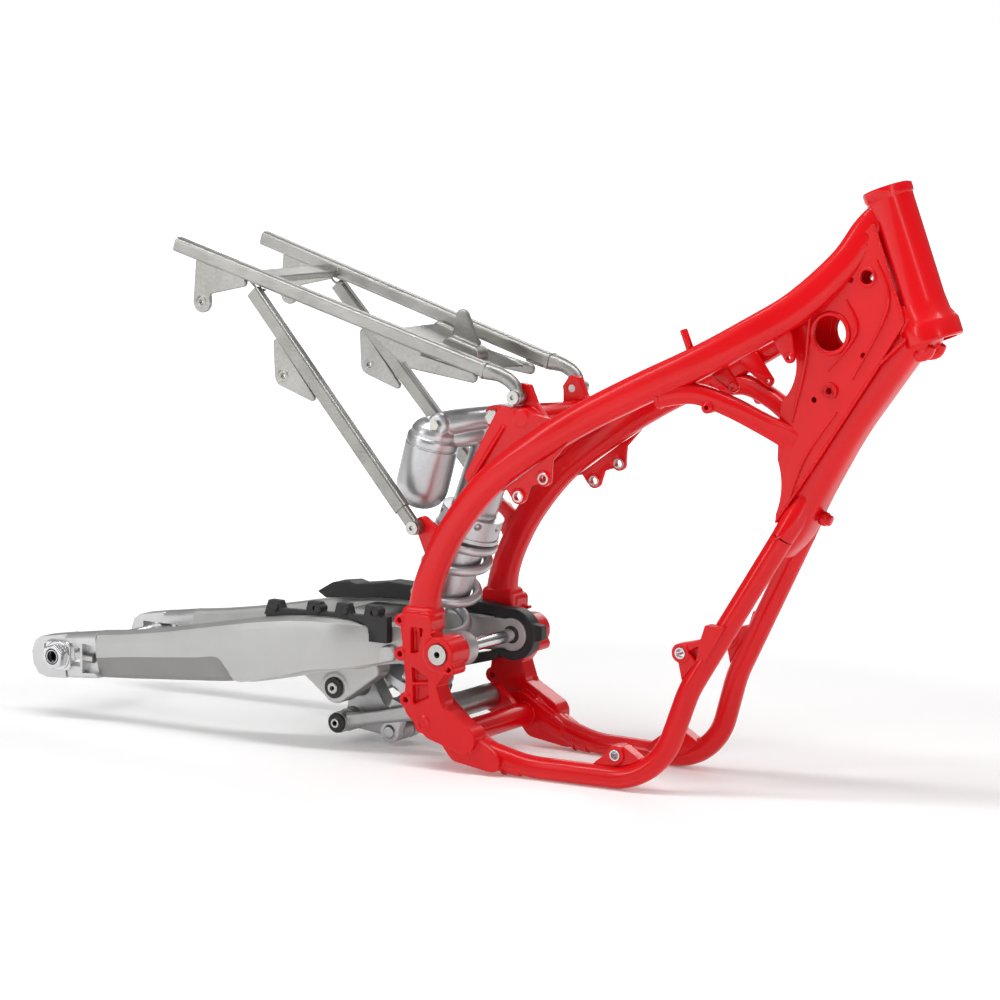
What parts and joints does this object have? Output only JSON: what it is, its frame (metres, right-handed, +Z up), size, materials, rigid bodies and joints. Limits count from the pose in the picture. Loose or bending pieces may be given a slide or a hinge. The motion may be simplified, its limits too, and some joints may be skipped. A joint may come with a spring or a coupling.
{
  "type": "off-road motorcycle chassis",
  "caption": "Off-road motorcycle chassis: red tubular steel frame with aluminium subframe, swingarm, rising-rate linkage and rear shock with reservoir.",
  "frame": {"origin": "middle of the bounding box at its lowest level", "axes": "+X to the front of the chassis, +Y to its left, +Z up"},
  "size_m": [1.3004, 0.28, 0.7525],
  "materials": {
    "frame_paint": "gloss red enamel over welded steel",
    "raw_aluminium": "raw extruded and brushed",
    "swingarm_aluminium": "satin cast",
    "linkage_aluminium": "satin forged",
    "shock_aluminium": "fine satin",
    "plated_steel": "zinc plated",
    "spring_coat": "silver coat",
    "shaft_chrome": "polished",
    "black_plastic": "matte moulded",
    "seal_rubber": "moulded"
  },
  "bodies": {
    "frame": {"head_tube": "frame_paint", "downtube": "frame_paint", "lower_cross_tube": "frame_paint", "upper_cross_tube": "frame_paint", "engine_bushes": "plated_steel", "tank_mounts": "frame_paint", "pivot_axle": "plated_steel", "pivot_nut": "plated_steel", "frame_bolts": "plated_steel", "subframe_cross_strut": "raw_aluminium", "subframe_bracket": "raw_aluminium", "fender_lugs": "raw_aluminium", "panel_lugs": "raw_aluminium", "subframe_bolts": "plated_steel", "head_gusset_right": "frame_paint", "head_gusset_left": "frame_paint", "backbone_right": "frame_paint", "backbone_left": "frame_paint", "rear_leg_right": "frame_paint", "rear_leg_left": "frame_paint", "strut_right": "frame_paint", "strut_left": "frame_paint", "cradle_tube_right": "frame_paint", "cradle_tube_left": "frame_paint", "pivot_casting_right": "frame_paint", "pivot_casting_left": "frame_paint", "rear_web_right": "frame_paint", "rear_web_left": "frame_paint", "engine_plate_right": "frame_paint", "engine_plate_left": "frame_paint", "front_engine_lug_right": "frame_paint", "front_engine_lug_left": "frame_paint", "lower_engine_lug_right": "frame_paint", "lower_engine_lug_left": "frame_paint", "subframe_rail_right": "raw_aluminium", "subframe_rail_left": "raw_aluminium", "rail_hook_right": "raw_aluminium", "rail_hook_left": "raw_aluminium", "subframe_stay_right": "raw_aluminium", "subframe_stay_left": "raw_aluminium"},
    "swingarm": {"swingarm": "swingarm_aluminium", "arm_tip_right": "swingarm_aluminium", "arm_tip_left": "swingarm_aluminium", "chain_slider": "black_plastic", "hose_guide": "black_plastic", "swingarm_seals": "seal_rubber", "adjuster_bolts": "plated_steel", "rocker_bolt": "plated_steel"},
    "rear_axle_set": {"rear_axle": "plated_steel", "axle_nut": "plated_steel", "adjuster_blocks": "swingarm_aluminium"},
    "rocker_arm": {"rocker": "linkage_aluminium"},
    "linkage_rod": {"link_rod": "linkage_aluminium", "rod_bolt": "plated_steel"},
    "shock_upper": {"shock_body": "shock_aluminium", "reservoir": "shock_aluminium", "spring": "spring_coat"},
    "preload_adjuster": {"preload_ring": "shock_aluminium"},
    "compression_dial": {"compression_adjuster": "plated_steel"},
    "shock_lower": {"shock_shaft": "shaft_chrome", "spring_seat": "shock_aluminium", "shock_clevis": "shock_aluminium"}
  },
  "joints": [
    {"name": "swingarm_pivot", "type": "hinge", "parent": "frame", "child": "swingarm", "pos_m": [0.0048, 0, 0.149], "axis": [0, 1, 0], "range_deg": [0, 28]},
    {"name": "rocker_pivot", "type": "hinge", "parent": "swingarm", "child": "rocker_arm", "pos_m": [-0.1852, 0, 0.079], "axis": [0, 1, 0], "range_deg": [-46, 0]},
    {"name": "rod_pivot", "type": "hinge", "parent": "frame", "child": "linkage_rod", "pos_m": [-0.0252, 0, 0.066], "axis": [0, 1, 0], "range_deg": [0, 32.5]},
    {"name": "shock_pivot", "type": "hinge", "parent": "frame", "child": "shock_upper", "pos_m": [0.0288, 0, 0.442], "axis": [0, 1, 0], "range_deg": [0, 6.5]},
    {"name": "shock_stroke", "type": "slide", "parent": "shock_upper", "child": "shock_lower", "axis": [0.3499, 0, 0.9368], "range_m": [0, 0.11], "deforming": ["spring"]},
    {"name": "axle_slide", "type": "slide", "parent": "swingarm", "child": "rear_axle_set", "axis": [1, 0, 0], "range_m": [-0.014, 0.017]},
    {"name": "preload_turn", "type": "hinge", "parent": "shock_upper", "child": "preload_adjuster", "pos_m": [-0.02264, 0, 0.30429], "axis": [-0.3499, 0, -0.9368], "continuous": true},
    {"name": "compression_turn", "type": "hinge", "parent": "shock_upper", "child": "compression_dial", "pos_m": [-0.0352, -0.062, 0.431], "axis": [0, -1, 0], "continuous": true}
  ],
  "couplings": [
    {"joint": "rocker_pivot", "follows": "swingarm_pivot", "ratio": -1.6239},
    {"joint": "rod_pivot", "follows": "swingarm_pivot", "ratio": 1.1398},
    {"joint": "shock_pivot", "follows": "swingarm_pivot", "ratio": 0.22407},
    {"joint": "shock_stroke", "follows": "swingarm_pivot", "m_per_rad": 0.21995}
  ]
}
